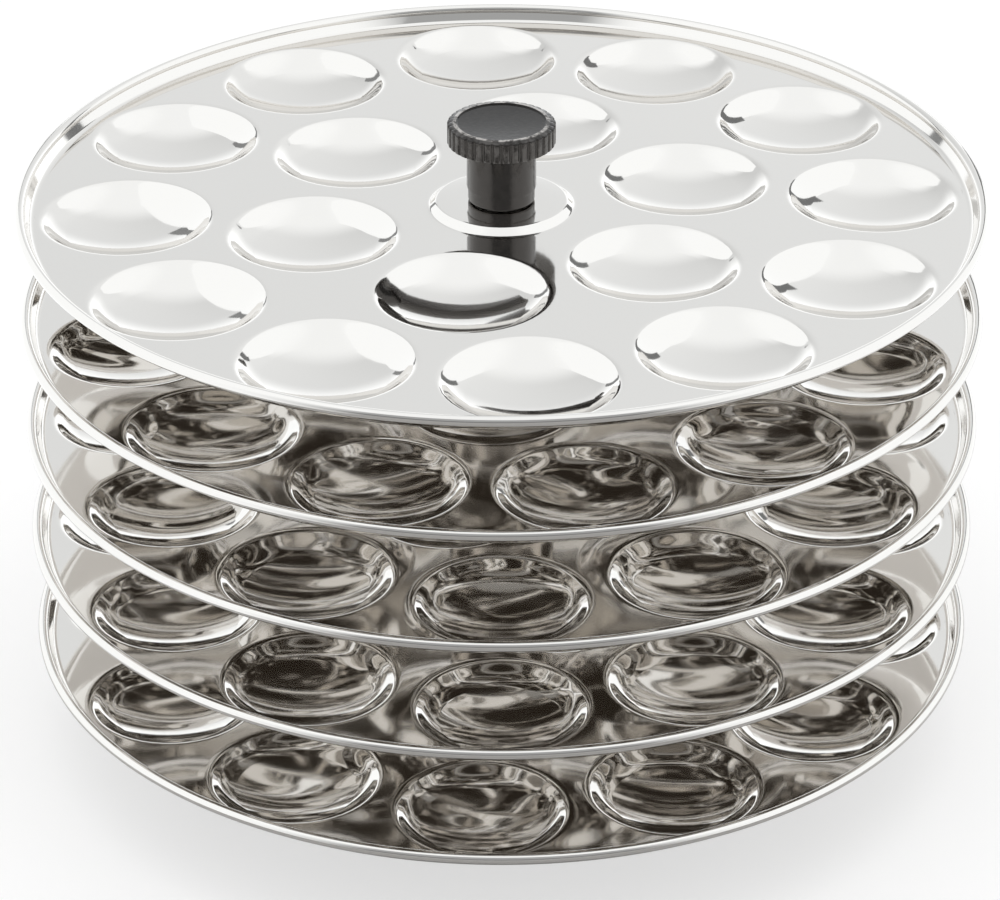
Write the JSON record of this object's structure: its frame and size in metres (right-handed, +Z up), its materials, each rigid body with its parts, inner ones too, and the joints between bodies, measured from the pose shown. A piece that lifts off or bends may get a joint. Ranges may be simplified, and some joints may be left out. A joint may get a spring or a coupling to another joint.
{
  "type": "idli steamer rack",
  "caption": "Stack of round stainless plates with small dished pits for steaming idlis, spaced on a centre rod and held down by a black screw knob.",
  "frame": {"origin": "centre of the foot's underside, on the table", "axes": "+Z up the rod, the axis that every plate turns about; +Y away from the picture's camera, +X to its right"},
  "size_m": [0.2, 0.2, 0.1386],
  "materials": {
    "plate_steel": "mirror-polished stainless steel",
    "spacer_steel": "polished drawn stainless steel",
    "foot_steel": "polished spun stainless steel",
    "rod_steel": "turned stainless steel",
    "fastener_steel": "satin stainless steel",
    "knob_bakelite": "moulded black bakelite, semi-gloss",
    "insert_brass": "machined brass"
  },
  "bodies": {
    "base": {"base_foot": "foot_steel", "centre_rod": "rod_steel", "foot_washer": "fastener_steel", "foot_nut": "fastener_steel"},
    "bottom_collar": {"bottom_collar": "spacer_steel"},
    "plate_5": {"plate_5": "plate_steel"},
    "spacer_4": {"spacer_4": "spacer_steel"},
    "plate_4": {"plate_4": "plate_steel"},
    "spacer_3": {"spacer_3": "spacer_steel"},
    "plate_3": {"plate_3": "plate_steel"},
    "spacer_2": {"spacer_2": "spacer_steel"},
    "plate_2": {"plate_2": "plate_steel"},
    "spacer_1": {"spacer_1": "spacer_steel"},
    "plate_1": {"plate_1": "plate_steel"},
    "pressure_washer": {"pressure_washer": "fastener_steel"},
    "knob": {"knob": "knob_bakelite", "knob_insert": "insert_brass"}
  },
  "joints": [
    {"name": "bottom_collar_lift", "type": "slide", "parent": "base", "child": "bottom_collar", "axis": [0, 0, 1], "range_m": [0, 0.1251]},
    {"name": "plate_5_spin", "type": "hinge", "parent": "bottom_collar", "child": "plate_5", "pos_m": [0, 0, 0.022], "axis": [0, 0, 1], "continuous": true},
    {"name": "spacer_4_lift", "type": "slide", "parent": "bottom_collar", "child": "spacer_4", "axis": [0, 0, 1], "range_m": [0, 0.1116]},
    {"name": "plate_4_spin", "type": "hinge", "parent": "spacer_4", "child": "plate_4", "pos_m": [0, 0, 0.0464], "axis": [0, 0, 1], "continuous": true},
    {"name": "spacer_3_lift", "type": "slide", "parent": "spacer_4", "child": "spacer_3", "axis": [0, 0, 1], "range_m": [0, 0.0872]},
    {"name": "plate_3_spin", "type": "hinge", "parent": "spacer_3", "child": "plate_3", "pos_m": [0, 0, 0.0708], "axis": [0, 0, 1], "continuous": true},
    {"name": "spacer_2_lift", "type": "slide", "parent": "spacer_3", "child": "spacer_2", "axis": [0, 0, 1], "range_m": [0, 0.0628]},
    {"name": "plate_2_spin", "type": "hinge", "parent": "spacer_2", "child": "plate_2", "pos_m": [0, 0, 0.0952], "axis": [0, 0, 1], "continuous": true},
    {"name": "spacer_1_lift", "type": "slide", "parent": "spacer_2", "child": "spacer_1", "axis": [0, 0, 1], "range_m": [0, 0.0384]},
    {"name": "plate_1_spin", "type": "hinge", "parent": "spacer_1", "child": "plate_1", "pos_m": [0, 0, 0.1196], "axis": [0, 0, 1], "continuous": true},
    {"name": "knob_rise", "type": "slide", "parent": "spacer_1", "child": "pressure_washer", "axis": [0, 0, 1], "range_m": [0, 0.009]},
    {"name": "knob_spin", "type": "hinge", "parent": "pressure_washer", "child": "knob", "pos_m": [0, 0, 0.1221], "axis": [0, 0, 1], "range_deg": [0, 3240]}
  ],
  "couplings": [
    {"joint": "knob_spin", "follows": "knob_rise", "rad_per_m": 6283.2}
  ]
}
